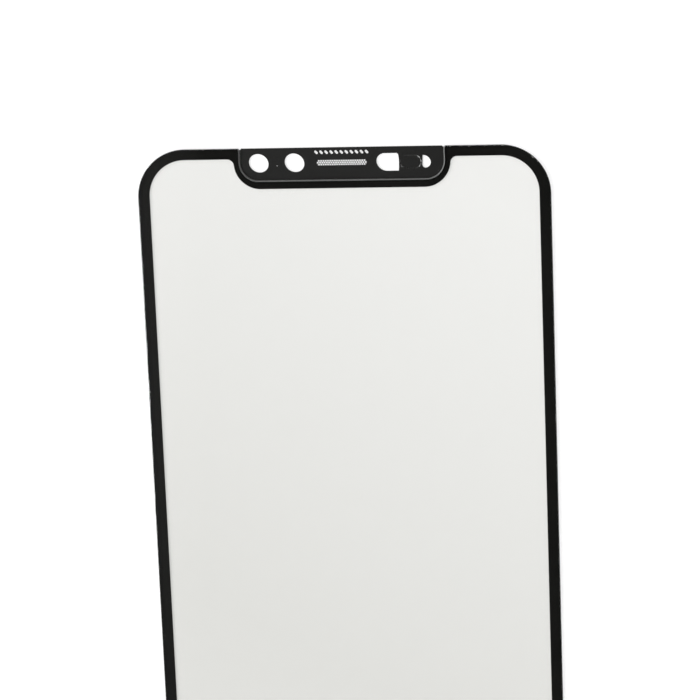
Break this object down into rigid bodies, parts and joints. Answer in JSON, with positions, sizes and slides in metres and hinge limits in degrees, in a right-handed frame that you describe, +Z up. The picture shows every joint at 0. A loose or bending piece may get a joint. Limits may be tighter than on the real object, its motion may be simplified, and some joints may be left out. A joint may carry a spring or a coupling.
{
  "type": "phone screen protector",
  "caption": "Flat clear glass screen protector with rounded corners, a black border film, and a perforated sensor tab with an earpiece mesh filling the notch in the glass.",
  "frame": {"origin": "centre of the outline on the surface the protector lies on", "axes": "+Z up out of the front face, +Y along the length towards the notch end, +X to the right seen from the front"},
  "size_m": [0.0672, 0.1398, 0.0005],
  "materials": {
    "clear_glass": "polished clear glass with ground and rounded edges",
    "black_film": "smooth black film, satin where it is bare in the notch",
    "steel_mesh": "plain dark fine perforated steel"
  },
  "bodies": {
    "root": {"glass_panel": "clear_glass", "border_film": "black_film", "earpiece_mesh": "steel_mesh"}
  },
  "joints": []
}
